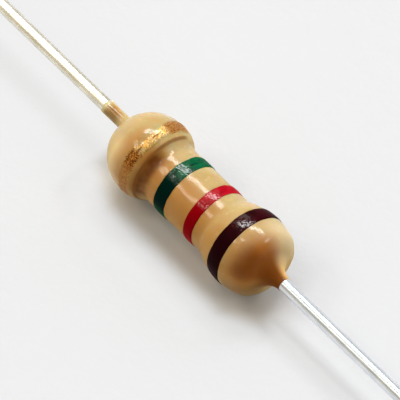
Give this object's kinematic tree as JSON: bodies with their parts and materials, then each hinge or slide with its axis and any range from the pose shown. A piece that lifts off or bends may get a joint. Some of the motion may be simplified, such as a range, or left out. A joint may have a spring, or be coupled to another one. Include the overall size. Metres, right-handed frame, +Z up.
{
  "type": "axial resistor",
  "caption": "Small axial carbon-film resistor with a lacquered dog-bone body, colour bands and a straight wire lead at each end.",
  "frame": {"origin": "middle of the ceramic rod, on the body's axis", "axes": "+X along the axis towards the brown band's end, +Z up from the surface that the body lies on"},
  "size_m": [0.0616, 0.0026, 0.0026],
  "materials": {
    "ceramic_core": "fired alumina, matt",
    "film_carbon": "thin matt carbon film",
    "cap_steel": "pressed and tin-plated",
    "tinned_wire": "bright tin plate on drawn copper wire",
    "lacquer": "glossy beige baked lacquer",
    "gold_paint": "gold flake paint",
    "green_paint": "satin green paint",
    "red_paint": "satin red paint",
    "brown_paint": "satin dark brown paint"
  },
  "bodies": {
    "root": {"ceramic_rod": "ceramic_core", "carbon_film": "film_carbon", "brown_end_cap": "cap_steel", "gold_end_cap": "cap_steel", "brown_end_lead": "tinned_wire", "gold_end_lead": "tinned_wire", "lacquer_coating": "lacquer", "gold_band": "gold_paint", "green_band": "green_paint", "red_band": "red_paint", "brown_band": "brown_paint"}
  },
  "joints": []
}
